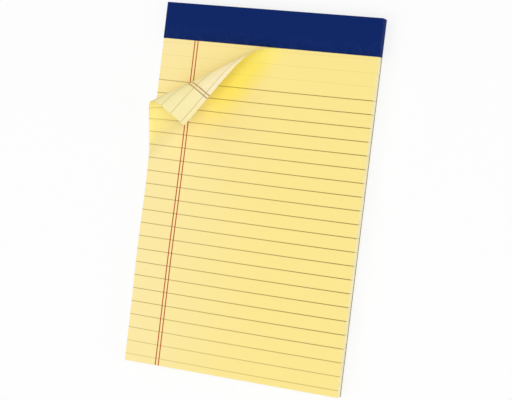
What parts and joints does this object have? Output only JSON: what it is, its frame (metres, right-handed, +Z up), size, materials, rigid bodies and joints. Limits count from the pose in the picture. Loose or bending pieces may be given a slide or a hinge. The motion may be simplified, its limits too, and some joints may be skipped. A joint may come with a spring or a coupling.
{
  "type": "legal pad",
  "caption": "Junior legal pad of yellow ruled sheets on a chipboard back, bound at the head under a blue paper tape, its top sheet torn along the perforation and rolled over at one corner.",
  "frame": {"origin": "middle of the pad's underside, at the centre of its outline", "axes": "+X across the sheets to the reader's right, +Y from the foot to the bound head, +Z up out of the written face"},
  "size_m": [0.1274, 0.2032, 0.0291],
  "materials": {
    "chipboard": "matte grey-brown chipboard",
    "sheet_stack": "matte ruled paper with pale cut edges",
    "ruled_paper": "matte yellow paper with thin rules and a double margin line",
    "blue_tape": "matte navy paper tape",
    "stitch_wire": "drawn galvanised wire"
  },
  "bodies": {
    "root": {"backing_board": "chipboard", "sheet_block": "sheet_stack", "top_sheet": "ruled_paper", "binding_tape": "blue_tape", "wire_stitches": "stitch_wire"}
  },
  "joints": []
}
